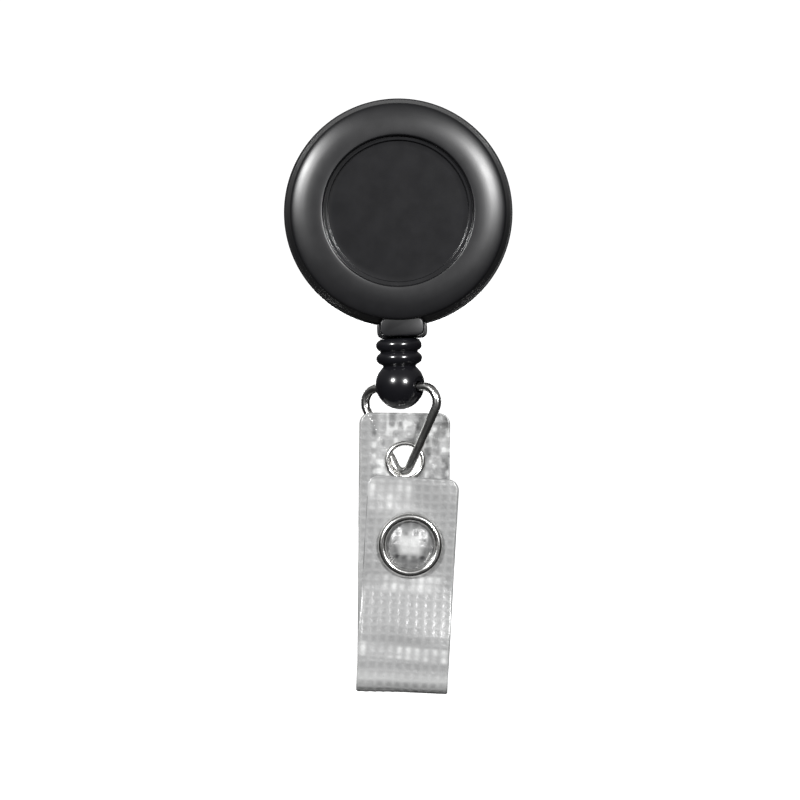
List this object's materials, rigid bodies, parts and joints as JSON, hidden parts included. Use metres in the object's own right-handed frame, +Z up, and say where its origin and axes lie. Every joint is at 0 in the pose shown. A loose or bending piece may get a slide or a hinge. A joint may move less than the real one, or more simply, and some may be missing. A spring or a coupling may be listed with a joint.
{
  "type": "retractable badge reel",
  "caption": "Round retractable reel with a belt clip, a cord on a sprung spool, a ball fitting with a wire loop, and a folded clear strap with a ring snap.",
  "frame": {"origin": "centre of the casing's back face, on the spool's axis, where the belt clip is riveted", "axes": "+Z up as the reel hangs, the cord leaves along -Z; +Y from the front face towards the wearer; +X to the viewer's right"},
  "size_m": [0.032, 0.0147, 0.0834],
  "materials": {
    "case_black": "satin-gloss moulded black plastic",
    "fitting_black": "glossy moulded black plastic",
    "spool_plastic": "natural moulded plastic",
    "cord_nylon": "twisted black nylon cord",
    "nickel": "bright nickel plate",
    "clip_steel": "plated spring steel",
    "spring_steel": "blued spring steel strip",
    "clear_vinyl": "clear vinyl with an embossed mesh reinforcement"
  },
  "bodies": {
    "case": {"back_shell": "case_black", "front_shell": "case_black", "spiral_spring": "spring_steel", "clip_rivet": "clip_steel", "belt_clip_base": "clip_steel"},
    "clip_tongue": {"belt_clip_tongue": "clip_steel"},
    "reel_spool": {"spool": "spool_plastic", "spring_cover_disc": "spool_plastic", "cord_winding": "cord_nylon", "cord_anchor_knot": "cord_nylon"},
    "cord_end": {"cord_run": "cord_nylon", "ribbed_bumper": "fitting_black", "cord_knot": "cord_nylon"},
    "ball": {"ball_fitting": "fitting_black"},
    "loop": {"wire_loop": "nickel"},
    "strap": {"strap_back_leg": "clear_vinyl", "strap_fold": "clear_vinyl", "strap_eyelet": "nickel", "eyelet_washer": "nickel", "snap_stud": "nickel", "snap_back_ring": "nickel"},
    "flap": {"strap_front_leg": "clear_vinyl", "snap_cap_ring": "nickel", "snap_socket": "nickel"}
  },
  "joints": [
    {"name": "cord_pull", "type": "slide", "parent": "case", "child": "cord_end", "axis": [0, 0, -1], "range_m": [0, 0.864], "stiffness_N_per_m": 1, "springref_m": -0.6, "deforming": ["cord_run"]},
    {"name": "spool_spin", "type": "hinge", "parent": "case", "child": "reel_spool", "pos_m": [0, 0, 0], "axis": [0, 1, 0], "range_deg": [0, 4500]},
    {"name": "ball_twist", "type": "hinge", "parent": "cord_end", "child": "ball", "pos_m": [-0.00053, -0.0043, -0.02406], "axis": [0, 0, 1], "continuous": true},
    {"name": "loop_swing", "type": "hinge", "parent": "ball", "child": "loop", "pos_m": [-0.00053, -0.0043, -0.02443], "axis": [0.8192, -0.5736, 0], "range_deg": [-60, 60]},
    {"name": "strap_swing", "type": "hinge", "parent": "loop", "child": "strap", "pos_m": [-0.00019, -0.0043, -0.03476], "axis": [0, 1, 0], "range_deg": [-14, 6]},
    {"name": "snap_flap", "type": "hinge", "parent": "strap", "child": "flap", "pos_m": [-0.00155, -0.00555, -0.06428], "axis": [0.9977, 0, -0.0671], "range_deg": [0, 120], "deforming": ["strap_fold"]},
    {"name": "clip_flex", "type": "hinge", "parent": "case", "child": "clip_tongue", "pos_m": [0, 0.0057, 0.0096], "axis": [1, 0, 0], "range_deg": [0, 12], "stiffness_Nm_per_rad": 0.3}
  ],
  "couplings": [
    {"joint": "spool_spin", "follows": "cord_pull", "rad_per_m": 88.5}
  ]
}
